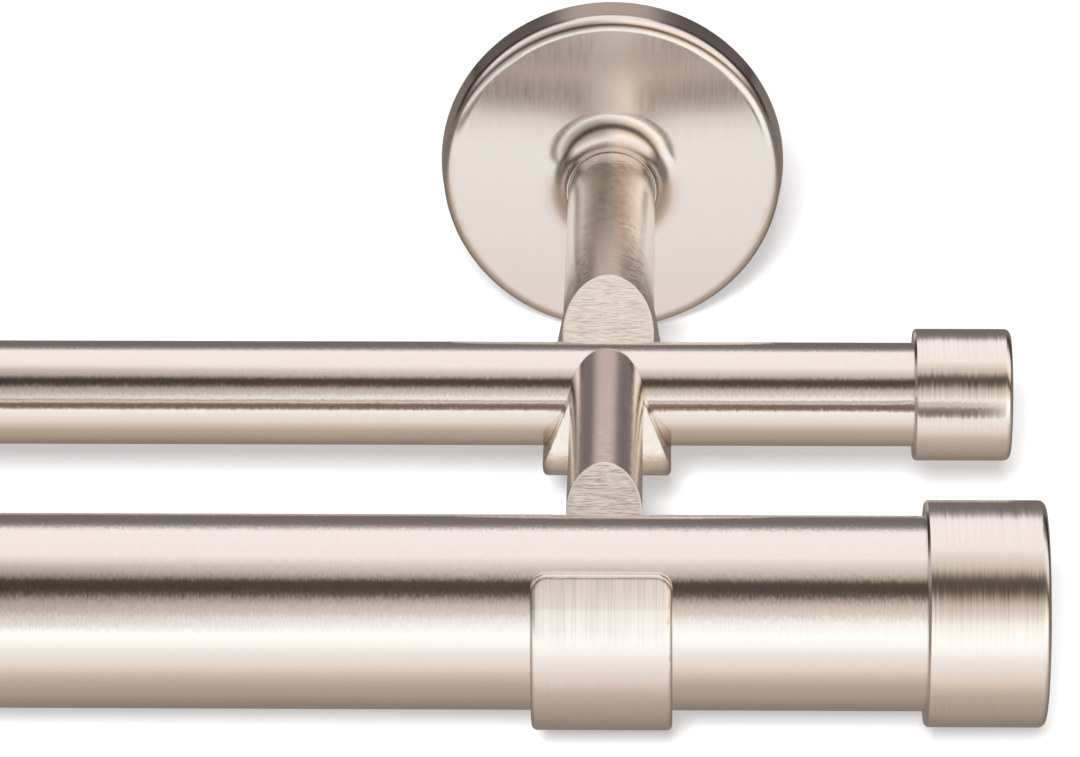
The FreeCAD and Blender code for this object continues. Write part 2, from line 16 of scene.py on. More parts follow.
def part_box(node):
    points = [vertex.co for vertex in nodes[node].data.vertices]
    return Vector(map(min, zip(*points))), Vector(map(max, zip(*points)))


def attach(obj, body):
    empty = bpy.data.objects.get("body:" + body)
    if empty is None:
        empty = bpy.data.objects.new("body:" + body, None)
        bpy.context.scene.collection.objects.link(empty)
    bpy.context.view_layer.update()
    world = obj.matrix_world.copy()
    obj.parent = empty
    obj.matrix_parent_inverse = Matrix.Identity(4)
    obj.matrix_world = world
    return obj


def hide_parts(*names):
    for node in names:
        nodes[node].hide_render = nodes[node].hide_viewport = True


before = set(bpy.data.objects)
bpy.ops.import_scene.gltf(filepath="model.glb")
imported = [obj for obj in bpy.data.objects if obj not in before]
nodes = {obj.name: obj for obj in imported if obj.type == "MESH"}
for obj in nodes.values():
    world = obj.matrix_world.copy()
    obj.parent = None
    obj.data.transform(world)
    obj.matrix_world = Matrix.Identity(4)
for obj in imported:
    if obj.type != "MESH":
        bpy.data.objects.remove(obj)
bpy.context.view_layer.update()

MM = 0.001  # everything here is in metres
BRACKET_X = 0.54  # each bracket stands this far from the middle
ENDS = ("right", "left")

# %% [markdown]
# ## Small helpers for building node trees
# A shader is a graph. These helpers add a node, set its values and join its
# sockets in one line, so that each finish below reads like a recipe. Sockets
# could also be joined by hand in the editor, but a script can be run again.


# %% Nodes and their sockets
def fill(tree, node, inputs):
    """Give each input a value, or join it to another node's socket."""
    for key, value in inputs.items():
        if isinstance(value, bpy.types.NodeSocket):
            tree.links.new(value, node.inputs[key])
        else:
            node.inputs[key].default_value = value
    return node


def add(tree, kind, inputs=None, **settings):
    """Add a node with these inputs and settings."""
    node = tree.nodes.new(kind)
    for name, value in settings.items():
        setattr(node, name, value)
    return fill(tree, node, inputs or {})


def place_on(tree):
    """Where a point lies on the piece, in metres."""
    return add(tree, "ShaderNodeTexCoord").outputs["Object"]


def noise(tree, place, scale, detail, **more):
    """A soft random pattern, from 0 to 1."""
    inputs = {"Vector": place, "Scale": scale, "Detail": detail, **more}
    return add(tree, "ShaderNodeTexNoise", inputs).outputs["Fac"]


print("node helpers:", fill.__name__, add.__name__, place_on.__name__, noise.__name__)


# %% Sums on numbers and vectors
def calc(tree, operation, *values, clamp=False):
    """One sum on numbers, such as calc(tree, "MULTIPLY", a, b)."""
    inputs = dict(enumerate(values))
    return add(tree, "ShaderNodeMath", inputs, operation=operation, use_clamp=clamp).outputs[0]


def spread(tree, value, low, high, start=0.0, end=1.0):
    """Map low..high to start..end with a soft beginning and a soft end."""
    inputs = {"Value": value, "From Min": low, "From Max": high, "To Min": start, "To Max": end}
    node = add(tree, "ShaderNodeMapRange", inputs, interpolation_type="SMOOTHSTEP")
    return node.outputs["Result"]


def parts_of(tree, vector):
    """A vector's "X", "Y" and "Z"."""
    return add(tree, "ShaderNodeSeparateXYZ", {0: vector}).outputs


def on_vectors(tree, operation, one, other):
    """One sum on vectors, such as "ADD"."""
    inputs = {0: one, 1: other}
    return add(tree, "ShaderNodeVectorMath", inputs, operation=operation).outputs["Vector"]


def likeness(tree, one, other):
    """How much two directions agree: 1 if they are the same."""
    inputs = {0: one, 1: other}
    return add(tree, "ShaderNodeVectorMath", inputs, operation="DOT_PRODUCT").outputs["Value"]


def scaled(tree, vector, factor):
    """A vector, or a colour, times a number."""
    inputs = {0: vector, "Scale": factor}
    return add(tree, "ShaderNodeVectorMath", inputs, operation="SCALE").outputs["Vector"]


def blend_colour(tree, share, one, other, blend="MIX"):
    """one where share is 0, other where it is 1, or one multiplied by other there."""
    node = add(tree, "ShaderNodeMix", data_type="RGBA", blend_type=blend)
    return fill(tree, node, {0: share, 6: one, 7: other}).outputs[2]


print("sums:", calc.__name__, spread.__name__, on_vectors.__name__, blend_colour.__name__)


# %% Materials and studio pieces
def start_material(name):
    """A new material, its tree and its shader."""
    material = bpy.data.materials.new(name)
    material.use_nodes = True
    return material, material.node_tree, material.node_tree.nodes["Principled BSDF"]


def start_bare(name):
    """A new material with an empty tree."""
    material, tree, shader = start_material(name)
    tree.nodes.clear()
    return material, tree


def studio_piece(name, points, faces, material):
    """A sheet of the studio, made from its points and faces."""
    mesh = bpy.data.meshes.new(name)
    mesh.from_pydata(points, [], faces)
    mesh.materials.append(material)
    piece = bpy.data.objects.new(name, mesh)
    bpy.context.scene.collection.objects.link(piece)
    print(name, "has", len(faces), "faces")
    return piece


print("makers:", start_material.__name__, start_bare.__name__, studio_piece.__name__)

# %% [markdown]
# ## The studio
# A polished pole is a mirror that only looks up and down: a point on it
# reflects one height of the room. So the photograph's bands tell what stood
# round the pole. There is a large soft light in front, a dark gap above it, a
# second soft light overhead, and a dark room behind. Area lamps could build
# that room, but a world that is painted by direction is quieter and exact.
# The list goes round the pole, from behind and below (-180 degrees), past the
# viewer (0) and straight up (90) to behind and above (180).

# %% Bands of light round the poles
BANDS = [
    (-180, (0.22, 0.19, 0.17)),
    (-133, (0.28, 0.24, 0.21)),
    (-114, (0.34, 0.29, 0.25)),
    (-92, (0.48, 0.41, 0.35)),
    (-68, (0.59, 0.52, 0.45)),
    (-55, (0.76, 0.68, 0.62)),
    (-43, (0.99, 0.89, 0.85)),
    (-30, (1.03, 1.03, 1.04)),
    (-21, (1.09, 1.12, 1.13)),
    (-14, (1.24, 1.28, 1.30)),
    (-2, (1.30, 1.38, 1.45)),
    (8, (1.22, 1.28, 1.32)),
    (17, (1.10, 1.13, 1.16)),
    (25, (0.84, 0.81, 0.79)),
    (36, (0.68, 0.63, 0.58)),
    (41, (0.48, 0.43, 0.39)),
    (46, (0.17, 0.14, 0.12)),
    (52, (0.085, 0.07, 0.06)),
    (63, (0.085, 0.07, 0.06)),
    (67, (0.40, 0.36, 0.33)),
    (72, (0.68, 0.63, 0.58)),
    (85, (0.92, 0.87, 0.86)),
    (95, (1.12, 1.09, 1.10)),
    (137, (1.15, 1.12, 1.17)),
    (141, (0.86, 0.83, 0.87)),
    (146, (0.42, 0.40, 0.41)),
    (153, (0.23, 0.21, 0.21)),
    (166, (0.20, 0.17, 0.17)),
    (180, (0.22, 0.20, 0.19)),
]


def band_ramp(tree, turn, rows):
    """A colour ramp over the angle turn (in radians), with stops at the rows' degrees."""
    around = calc(tree, "MULTIPLY_ADD", turn, 1 / (2 * math.pi), 0.5)
    node = add(tree, "ShaderNodeValToRGB", {0: around})
    stops = node.color_ramp.elements
    for number, (angle, colour) in enumerate(rows):
        position = (angle + 180) / 360
        stop = stops[number] if number < 2 else stops.new(position)
        stop.position = position
        stop.color = (*colour, 1)
    return node.outputs["Color"]


world = bpy.data.worlds.new("studio")
world.use_nodes = True
bpy.context.scene.world = world
tree = world.node_tree
tree.nodes.clear()
way = parts_of(tree, add(tree, "ShaderNodeTexCoord").outputs["Generated"])
turn = calc(tree, "ARCTAN2", way["Z"], calc(tree, "MULTIPLY", way["Y"], -1.0))
bands = band_ramp(tree, turn, BANDS)
print("studio bands:", len(BANDS))

# %% [markdown]
# The lights have ends. The bracket's round arm points at the wall, so it
# mirrors the room to the left and right, and its dark flanks show where the
# lights stop. The strip overhead is narrow at the back. Above the horizon,
# the front light is warm on its right half and weaker on its left, because
# the arm's mirror image in the rosette is bright on one side only. A
# direction's X, Y and Z are shares of its length, so an end is a range of X.

# %% Ends of the lights
FRONT_END = (0.86, 0.99)  # the front light fades out over this range, on both sides
STRIP_END = (0.24, 0.34)  # and the strip at the back over this one
BACK_BEGINS, BACK_STOPS = (0.2, 0.6), (0.90, 0.80)  # ranges of Y between which that strip lies
IN_FRONT, ABOVE = (0.1, -0.3), (0.0, 0.2)  # ranges of Y and of Z
LEFT_HALF, RIGHT_HALF = (-0.03, -0.15), (0.04, 0.14)  # ranges of X
WEAK_LEFT = (0.64, 0.63, 0.62, 1)
WARM_RIGHT = (1.32, 1.22, 1.10, 1)
DARK_SIDE = (0.23, 0.215, 0.205, 1)  # the unlit room to the left and right

sideways = calc(tree, "ABSOLUTE", way["X"])
short_of_end = spread(tree, way["Y"], *BACK_STOPS)
at_back = calc(tree, "MULTIPLY", spread(tree, way["Y"], *BACK_BEGINS), short_of_end)
past_strip = calc(tree, "MULTIPLY", at_back, spread(tree, sideways, *STRIP_END))
in_dark = calc(tree, "ADD", spread(tree, sideways, *FRONT_END), past_strip, clamp=True)
in_front = spread(tree, way["Y"], *IN_FRONT)
above_front = calc(tree, "MULTIPLY", in_front, spread(tree, way["Z"], *ABOVE))
left_share = calc(tree, "MULTIPLY", above_front, spread(tree, way["X"], *LEFT_HALF))
right_share = calc(tree, "MULTIPLY", above_front, spread(tree, way["X"], *RIGHT_HALF))


def finish_room(light):
    """The light of one direction, with the sides and the ends taken into account."""
    sided = blend_colour(tree, left_share, light, WEAK_LEFT, blend="MULTIPLY")
    sided = blend_colour(tree, right_share, sided, WARM_RIGHT, blend="MULTIPLY")
    return blend_colour(tree, in_dark, sided, DARK_SIDE)


print("lights end at", STRIP_END[0], "behind and", FRONT_END[0], "in front, as a share of sideways")

# %% [markdown]
# ## A tent near the poles
# Both poles mirror the same stripes, but those on the rear pole lie a little
# lower. Things far away would look the same from both, so the lights are
# near. A world has no near and far. So above the poles stands a tent: half a
# tube of thin cloth, half a metre away. It is clear where the front light is
# strongest, and its weave is denser where the bands are darker. For mirror
# rays the world is plain bright there, and the cloth makes the bands.

# %% World behind the tent
OPEN_AT = -2  # degrees: the band where the cloth is clear
OPEN_LIGHT = dict(BANDS)[OPEN_AT]
mirrored = add(tree, "ShaderNodeLightPath").outputs["Is Glossy Ray"]
above_horizon = calc(tree, "GREATER_THAN", turn, math.radians(OPEN_AT))
open_share = calc(tree, "MULTIPLY", mirrored, above_horizon)
light = blend_colour(tree, open_share, bands, (*OPEN_LIGHT, 1))
strip = add(tree, "ShaderNodeBackground", {0: finish_room(light), 1: 1.0})
white = add(tree, "ShaderNodeBackground", {0: (1, 1, 1, 1), 1: 1.0})
seen = add(tree, "ShaderNodeLightPath").outputs["Is Camera Ray"]
both = add(tree, "ShaderNodeMixShader", {0: seen, 1: strip.outputs[0], 2: white.outputs[0]})
add(tree, "ShaderNodeOutputWorld", {0: both.outputs[0]})
print("world:", len(tree.nodes), "nodes")

# %% Tent
TENT_AXIS_Y = -0.168  # close to the front pole's axis
TENT_RADIUS = 0.5
TENT_REACH = 3.0  # along the poles, each way
ARCH = range(OPEN_AT, 181, 2)  # degrees, from the front over the top to the back

cloth, tree = start_bare("tent_cloth")
part = parts_of(tree, place_on(tree))
turn = calc(tree, "ARCTAN2", part["Z"], calc(tree, "SUBTRACT", TENT_AXIS_Y, part["Y"]))
weave = [
    (angle, [amount / full for amount, full in zip(colour, OPEN_LIGHT)])
    for angle, colour in BANDS
    if angle >= OPEN_AT
]
thin = add(tree, "ShaderNodeBsdfTransparent", {0: band_ramp(tree, turn, weave)})
add(tree, "ShaderNodeOutputMaterial", {0: thin.outputs[0]})

points = []
for degrees in ARCH:
    y = TENT_AXIS_Y - TENT_RADIUS * math.cos(math.radians(degrees))
    z = TENT_RADIUS * math.sin(math.radians(degrees))
    points += [(-TENT_REACH, y, z), (TENT_REACH, y, z)]
strips = [(k, k + 1, k + 3, k + 2) for k in range(0, len(points) - 2, 2)]
tent = studio_piece("tent", points, strips, cloth)
tent.visible_camera = tent.visible_shadow = tent.visible_diffuse = False
print("tent radius", TENT_RADIUS)

# %% [markdown]
# ## A light for the brackets
# The tops of the arms and the rims of the rosettes mirror what stands far
# behind and a little above. They are clearly brighter there than the poles,
# so a weak panel is lit for the brackets alone. Light linking does that: a
# panel with a receiver collection adds its light to those objects only. It
# stands far away, so both brackets see it in the same direction.

# %% Rear panel
PANEL_WAY = Vector((0, 0.909, 0.416))  # where a level surface sends the view
PANEL_FAR = 20.0
PANEL_HALF_WIDTH, PANEL_HALF_HEIGHT = 6.6, 4.0
PANEL_STRENGTH = 1.8
PANEL_COLOUR = (1.0, 0.95, 0.92, 1)

soft, tree = start_bare("panel_light")
off_middle = calc(tree, "ABSOLUTE", parts_of(tree, place_on(tree))["X"])
fade = spread(tree, off_middle, PANEL_HALF_WIDTH / 2, PANEL_HALF_WIDTH, PANEL_STRENGTH, 0.0)
shine = add(tree, "ShaderNodeEmission", {0: PANEL_COLOUR, 1: fade})
clear = add(tree, "ShaderNodeBsdfTransparent")
sum_of = add(tree, "ShaderNodeAddShader", {0: shine.outputs[0], 1: clear.outputs[0]})
add(tree, "ShaderNodeOutputMaterial", {0: sum_of.outputs[0]})

middle = PANEL_FAR * PANEL_WAY
across = Vector((PANEL_HALF_WIDTH, 0, 0))
rise = PANEL_HALF_HEIGHT * Vector((0, -PANEL_WAY.z, PANEL_WAY.y))
low_side, high_side = middle - rise, middle + rise
corners = [low_side - across, low_side + across, high_side + across, high_side - across]
panel = studio_piece("rear_panel", corners, [(0, 1, 2, 3)], soft)
panel.visible_camera = panel.visible_shadow = panel.visible_diffuse = False
brackets = bpy.data.collections.new("brackets")
for end in ENDS:
    for stem in ("arm_", "rosette_"):
        brackets.objects.link(nodes[stem + end])
panel.light_linking.receiver_collection = brackets

# %% [markdown]
# ## Paper under the poles
# The photograph stands on plain white. A large disc of pale paper catches the
# soft shadow. A third of what the camera sees of it is a plain white glow,
# which keeps the shadow light. The metal doesn't mirror the disc, because the
# studio's bands already say what lies below.

# %% Floor
FLOOR_Z = -28.6 * MM  # just under the rosettes
FLOOR_RADIUS = 12.0
FLOOR_CORNERS = 96
PAPER = (0.60, 0.60, 0.60, 1)
GLOW_SHARE = 0.32

paper, tree, shader = start_material("pale_paper")
shader.inputs["Base Color"].default_value = PAPER
shader.inputs["Roughness"].default_value = 0.9
glow = add(tree, "ShaderNodeEmission", {0: (1, 1, 1, 1), 1: 1.0})
seen = add(tree, "ShaderNodeLightPath").outputs["Is Camera Ray"]
part_glow = calc(tree, "MULTIPLY", seen, GLOW_SHARE)
mix = add(tree, "ShaderNodeMixShader", {0: part_glow, 1: shader.outputs[0], 2: glow.outputs[0]})
tree.links.new(mix.outputs[0], tree.nodes["Material Output"].inputs["Surface"])

points = []
for k in range(FLOOR_CORNERS):
    angle = 2 * math.pi * k / FLOOR_CORNERS
    points.append((FLOOR_RADIUS * math.cos(angle), FLOOR_RADIUS * math.sin(angle), FLOOR_Z))
floor = studio_piece("floor", points, [list(range(FLOOR_CORNERS))], paper)
floor.visible_glossy = False
print("floor at", FLOOR_Z)

# %% [markdown]
# ## One lamp for the shadow
# A world gives light from everywhere and so hardly any shadow. A square lamp
# in front, about two metres away, throws the soft shadow to the right and
# behind. Its size sets how soft the shadow's edge is. The metal doesn't
# mirror it, because the bands already hold the front light.


# %% Lamp
def softbox(name, place, aim, size, power):
    """A square lamp that casts light and shadow but isn't mirrored."""
    data = bpy.data.lights.new(name, "AREA")
    data.shape = "RECTANGLE"
    data.size = data.size_y = size
    data.energy = power
    lamp = bpy.data.objects.new(name, data)
    bpy.context.scene.collection.objects.link(lamp)
    lamp.location = place
    lamp.rotation_mode = "QUATERNION"
    lamp.rotation_quaternion = (Vector(place) - Vector(aim)).to_track_quat("Z", "Y")
    lamp.visible_glossy = False
    print(name, power, "W")


softbox("key", place=(0.45, -1.82, 1.03), aim=(BRACKET_X, -0.08, 0), size=0.29, power=138)

# %% [markdown]
# ## The camera
# The photograph was taken from far away with a long lens, a little to the
# right of the bracket and looking down by a quarter of a right angle. The
# numbers come from fitting the two poles, the rosette and the caps at once.

# %% Camera
FOCAL_PIXELS = 6000
FRAME_WIDTH = 1080
EYE = (BRACKET_X + 8.721 * MM, -925.203 * MM, 384.788 * MM)
PITCH, YAW, ROLL = 0.430197, -0.022728, -0.006729

cam = bpy.data.cameras.new("camera")
cam.sensor_fit = "HORIZONTAL"
cam.sensor_width = 36.0
cam.lens = FOCAL_PIXELS * cam.sensor_width / FRAME_WIDTH
cam.clip_start, cam.clip_end = 0.05, 100
view = bpy.data.objects.new("camera", cam)
bpy.context.scene.collection.objects.link(view)
ahead = Vector((math.sin(YAW) * math.cos(PITCH), math.cos(YAW) * math.cos(PITCH), -math.sin(PITCH)))
level = Vector((math.cos(YAW), -math.sin(YAW), 0))
above = level.cross(ahead)
rightward = math.cos(ROLL) * level + math.sin(ROLL) * above
upward = -math.sin(ROLL) * level + math.cos(ROLL) * above
turned = Matrix((rightward, upward, -ahead)).transposed()
view.matrix_world = Matrix.Translation(EYE) @ turned.to_4x4()
bpy.context.scene.camera = view
bpy.context.scene.view_settings.view_transform = "Standard"
print("lens", cam.lens, "mm")

# %% [markdown]
# ## Finishes that several pieces share
# Each of the next three effects is a node group: a small machine with named
# inputs and outputs. It is built once and placed in every material that needs
# it, with that material's own values.


# %% A new node group
def new_group(name, inputs, outputs):
    """An empty group. inputs and outputs are (socket name, kind, value) lines."""
    group = bpy.data.node_groups.new(name, "ShaderNodeTree")
    for in_out, rows in (("INPUT", inputs), ("OUTPUT", outputs)):
        for title, kind, value in rows:
            kind = "NodeSocket" + kind
            socket = group.interface.new_socket(title, in_out=in_out, socket_type=kind)
            if value is not None:
                socket.default_value = value
    entry = group.nodes.new("NodeGroupInput")
    leave = group.nodes.new("NodeGroupOutput")
    return group, entry.outputs, leave.inputs


def place_group(tree, group, inputs):
    """Put a group in a material and return its outputs."""
    return fill(tree, add(tree, "ShaderNodeGroup", node_tree=group), inputs).outputs


print("group helpers:", new_group.__name__, place_group.__name__)

# %% [markdown]
# ### Brush lines
# An abrasive belt leaves thousands of fine scratches side by side. A picture
# of scratches could be wrapped round the metal, but noise that is squeezed in
# one direction does the same at any distance. Where it varies 3000 times a
# metre along the pole and only 100 times round it, it makes lines that run
# round the tube. Each line catches the room a little higher or lower than its
# neighbour, which a Bump node can't say for such long lines, so the group
# tips the surface direction itself, and shades each line a little.

# %% Brush line group
ALONG_POLES = (1, 0, 0)
STREAK_SCALE = 0.31  # streaks are about three times as wide as lines

brush, given, result = new_group(
    "brush_lines",
    [
        ("Place", "Vector", None),
        ("Lines per Metre", "Vector", (3000, 100, 100)),
        ("Tip", "Float", 0.05),
        ("Streaks", "Float", 0.3),
        ("Shade", "Float", 0.1),
        ("Normal", "Vector", None),
    ],
    [("Normal", "Vector", None), ("Shade", "Float", None), ("Line", "Float", None)],
)
squeezed = on_vectors(brush, "MULTIPLY", given["Place"], given["Lines per Metre"])
lines = noise(brush, squeezed, 1.0, 2.0, Roughness=0.6)
streaks = noise(brush, squeezed, STREAK_SCALE, 2.0, Roughness=0.7)
swing = calc(brush, "MULTIPLY_ADD", lines, 2.0, -1.0)
slow_swing = calc(brush, "MULTIPLY_ADD", streaks, 2.0, -1.0)
both = calc(brush, "MULTIPLY_ADD", slow_swing, given["Streaks"], swing)
tip = calc(brush, "MULTIPLY", both, given["Tip"])
round_way = on_vectors(brush, "CROSS_PRODUCT", ALONG_POLES, given["Normal"])
tipped = on_vectors(brush, "ADD", given["Normal"], scaled(brush, round_way, tip))
unit = add(brush, "ShaderNodeVectorMath", {0: tipped}, operation="NORMALIZE").outputs[0]
brush.links.new(unit, result["Normal"])
brush.links.new(calc(brush, "MULTIPLY_ADD", both, given["Shade"], 1.0), result["Shade"])
brush.links.new(swing, result["Line"])
print("brush_lines:", len(brush.nodes), "nodes")

# %% [markdown]
# ### Soft edges
# No edge on plated metal is sharp: polishing rounds it before the nickel goes
# on, and handling rubs it bright. A Bevel node bends the surface direction
# near each edge, which costs no extra faces. Where the bent direction and the
# real one differ, there is an edge, so the same node also says where the
# metal is rubbed.

# %% Soft edge group
EDGE_BEGINS, EDGE_FULL = 0.97, 0.80  # likeness of the bent and the real direction

soft_edge, given, result = new_group(
    "soft_edge",
    [("Radius", "Float", 0.3 * MM)],
    [("Normal", "Vector", None), ("Edge", "Float", None)],
)
bent = add(soft_edge, "ShaderNodeBevel", {"Radius": given["Radius"]}, samples=6).outputs["Normal"]
real = add(soft_edge, "ShaderNodeNewGeometry").outputs["Normal"]
same = likeness(soft_edge, bent, real)
soft_edge.links.new(bent, result["Normal"])
soft_edge.links.new(spread(soft_edge, same, EDGE_BEGINS, EDGE_FULL), result["Edge"])
print("soft_edge:", len(soft_edge.nodes), "nodes")

# %% [markdown]
# ### Plate cloud
# Nickel plate isn't even. The bath leaves faint clouds, a hair warmer here
# and cooler there, and fingers leave spots that are a little less sharp. Slow
# noise shifts the colour, and quicker noise shifts the roughness.

# %% Plate cloud group
NICKEL = (0.80, 0.725, 0.66, 1)
COOL_NICKEL = (0.70, 0.70, 0.72, 1)
CLOUDS, SPOTS = 45.0, 260.0  # per metre

cloud, given, result = new_group(
    "plate_cloud",
    [
        ("Place", "Vector", None),
        ("Warm", "Color", NICKEL),
        ("Cool Share", "Float", 0.05),
        ("Roughness", "Float", 0.2),
        ("Uneven", "Float", 0.04),
    ],
    [("Colour", "Color", None), ("Roughness", "Float", None)],
)
clouds = spread(cloud, noise(cloud, given["Place"], CLOUDS, 2.0), 0.3, 0.7)
cooling = calc(cloud, "MULTIPLY", clouds, given["Cool Share"])
cloud.links.new(blend_colour(cloud, cooling, given["Warm"], COOL_NICKEL), result["Colour"])
off_middle = calc(cloud, "SUBTRACT", noise(cloud, given["Place"], SPOTS, 3.0), 0.5)
swing = calc(cloud, "MULTIPLY", off_middle, 2.0)
uneven = calc(cloud, "MULTIPLY_ADD", swing, given["Uneven"], given["Roughness"])
cloud.links.new(uneven, result["Roughness"])
print("plate_cloud:", len(cloud.nodes), "nodes")

# %% [markdown]
# ## Nickel, brushed in different ways
# One recipe makes the poles, the caps and the rosettes. What changes is how a
# piece was worked. The poles and caps were turned against a belt, so their
# lines run round them. The rosette was pressed and only lightly brushed, up
# and down.

# %% Recipe for brushed nickel
RUBBED = (0.90, 0.86, 0.81, 1)
RUBBED_SHARE = 0.5
LINE_ROUGHNESS = 0.06  # more on the crest of a line, less in its foot


def brushed_nickel(name, lines, tip, shade, roughness, uneven, edge, colour=NICKEL):
    """lines per metre in x, y and z; tip in radians; edge radius in metres."""
    material, tree, shader = start_material(name)
    place = place_on(tree)
    rim = place_group(tree, soft_edge, {"Radius": edge})
    inputs = {"Place": place, "Lines per Metre": lines, "Tip": tip, "Shade": shade}
    marks = place_group(tree, brush, {**inputs, "Normal": rim["Normal"]})
    inputs = {"Place": place, "Warm": colour, "Roughness": roughness, "Uneven": uneven}
    plate = place_group(tree, cloud, inputs)
    shaded = scaled(tree, plate["Colour"], marks["Shade"])
    rubbed = calc(tree, "MULTIPLY", rim["Edge"], RUBBED_SHARE)
    tree.links.new(blend_colour(tree, rubbed, shaded, RUBBED), shader.inputs["Base Color"])
    rough = calc(tree, "MULTIPLY_ADD", marks["Line"], LINE_ROUGHNESS, plate["Roughness"])
    tree.links.new(rough, shader.inputs["Roughness"])
    tree.links.new(marks["Normal"], shader.inputs["Normal"])
    shader.inputs["Metallic"].default_value = 1.0
    print(name, "roughness", roughness, "tip", tip)
    return material


pole_metal = brushed_nickel(
    "pole_nickel",
    lines=(3600, 1300, 1300),
    tip=0.040,
    shade=0.05,
    roughness=0.13,
    uneven=0.02,
    edge=0.12 * MM,
)
cap_metal = brushed_nickel(
    "cap_nickel",
    lines=(2900, 60, 60),
    tip=0.055,
    shade=0.09,
    roughness=0.18,
    uneven=0.03,
    edge=0.12 * MM,
)
rosette_metal = brushed_nickel(
    "rosette_nickel",
    lines=(2600, 2600, 150),
    tip=0.002,
    shade=0.02,
    roughness=0.19,
    uneven=0.015,
    edge=0.15 * MM,
    colour=(0.75, 0.68, 0.62, 1),
)

# %% [markdown]
# ## The cast arm
# The arm is one casting with three kinds of surface. The front cradle was
# turned against the belt like a cap. The two sloping flats, where the poles
# roll in, were milled and show coarse scratches from side to side. The rest
# is smooth plate over a casting that is never quite straight. Three materials
# on three groups of faces would do, but the borders are soft, so one material
# tells the surfaces apart by where they are and which way they face.

# %% Masks of the arm's surfaces
FLAT_FACES = (0, -0.7071, 0.7071)  # the flats slope up towards the wall
FLAT_SOFT, FLAT_SURE = 0.975, 0.995  # likeness to that direction
CRADLE_FROM, CRADLE_TO = -0.146, -0.150  # the front cradle begins between these
LIP_FACE = (0, -0.876, 0.482)  # the straight upper part of the front cradle
LIP_SOFT, LIP_SURE = 0.975, 0.999
LIP_FOOT, LIP_TOP = 3.5 * MM, 8.5 * MM  # the height of that part
# painted shade: the satin darkens between these distances off the arm's middle line
WING_SHADE_FROM, WING_SHADE_TO = 8 * MM, 10 * MM  # the rear cradle's wings, off the arm's middle line

arm_metal, tree, shader = start_material("arm_nickel")
coords = add(tree, "ShaderNodeTexCoord").outputs
place = coords["Object"]
part = parts_of(tree, place)
on_flat = spread(tree, likeness(tree, coords["Normal"], FLAT_FACES), FLAT_SOFT, FLAT_SURE)
on_lip = spread(tree, likeness(tree, coords["Normal"], LIP_FACE), LIP_SOFT, LIP_SURE)
on_cradle = spread(tree, part["Y"], CRADLE_FROM, CRADLE_TO)
off_middle = calc(tree, "SUBTRACT", calc(tree, "ABSOLUTE", part["X"]), BRACKET_X)
painted_wing_shade = spread(tree, calc(tree, "ABSOLUTE", off_middle), WING_SHADE_FROM, WING_SHADE_TO)


def by_surface(satin_value, belt_value, milled_value):
    """Choose a value or a colour by the kind of surface."""
    off_flats = blend_colour(tree, on_cradle, satin_value, belt_value)
    return blend_colour(tree, on_flat, off_flats, milled_value)


print("arm masks:", len(tree.nodes), "nodes")

# %% [markdown]
# A hand at the belt doesn't keep a flat face quite flat. The lip comes out a
# little steeper than it was cast, most of all at its foot, and the flats come
# out slightly crowned. Both change what the face mirrors far more than its
# shape, so they are small pushes on the surface direction.

# %% Marks on the arm
ARM_EDGE = 0.55 * MM
WAVES = 170.0  # per metre, the casting's unevenness
CAST_DEPTH = 5.0e-6
LIP_LEAN = (0, -0.034, -0.061)
FOOT_LEAN, TOP_LEAN = 1.3, 0.6  # how much of that the lip's foot and its top get
CROWN = (0, 0.06, 0.06)

rim = place_group(tree, soft_edge, {"Radius": ARM_EDGE})
wavy = noise(tree, place, WAVES, 1.0)
inputs = {"Height": wavy, "Distance": CAST_DEPTH, "Normal": rim["Normal"]}
cast = add(tree, "ShaderNodeBump", inputs).outputs[0]
lip_share = spread(tree, part["Z"], LIP_FOOT, LIP_TOP, FOOT_LEAN, TOP_LEAN)
steeper = scaled(tree, LIP_LEAN, calc(tree, "MULTIPLY", on_lip, lip_share))


def marks_on(lines, tip, shade, normal):
    """Brush lines for one kind of surface."""
    inputs = {"Place": place, "Lines per Metre": lines, "Tip": tip, "Shade": shade}
    return place_group(tree, brush, {**inputs, "Normal": normal})


belt = marks_on((2900, 60, 60), 0.07, 0.08, on_vectors(tree, "ADD", rim["Normal"], steeper))
milled = marks_on((600, 9500, 9500), 0.42, 0.14, on_vectors(tree, "ADD", rim["Normal"], CROWN))
satin = marks_on((900, 12000, 900), 0.22, 0.03, cast)
normal = by_surface(satin["Normal"], belt["Normal"], milled["Normal"])
tree.links.new(normal, shader.inputs["Normal"])
print("arm marks:", len(tree.nodes), "nodes")

# %% [markdown]
# Each surface has its own roughness and its own colour. The milled flats and
# the smooth casting are the palest. Far off the arm's middle line, on the rear
# cradle's wings, the satin is painted darker: painted shade.

# %% Tones of the arm
SATIN_ROUGH, BELT_ROUGH, MILLED_ROUGH = 0.19, 0.22, 0.38
SATIN = (0.90, 0.82, 0.75, 1)
MILLED = (0.88, 0.82, 0.75, 1)
# painted shade: a darker copy of the satin, for the rear cradle's wings
WING_SHADE_TONE = (0.60, 0.53, 0.47, 1)
ARM_RUBBED_SHARE = 0.4

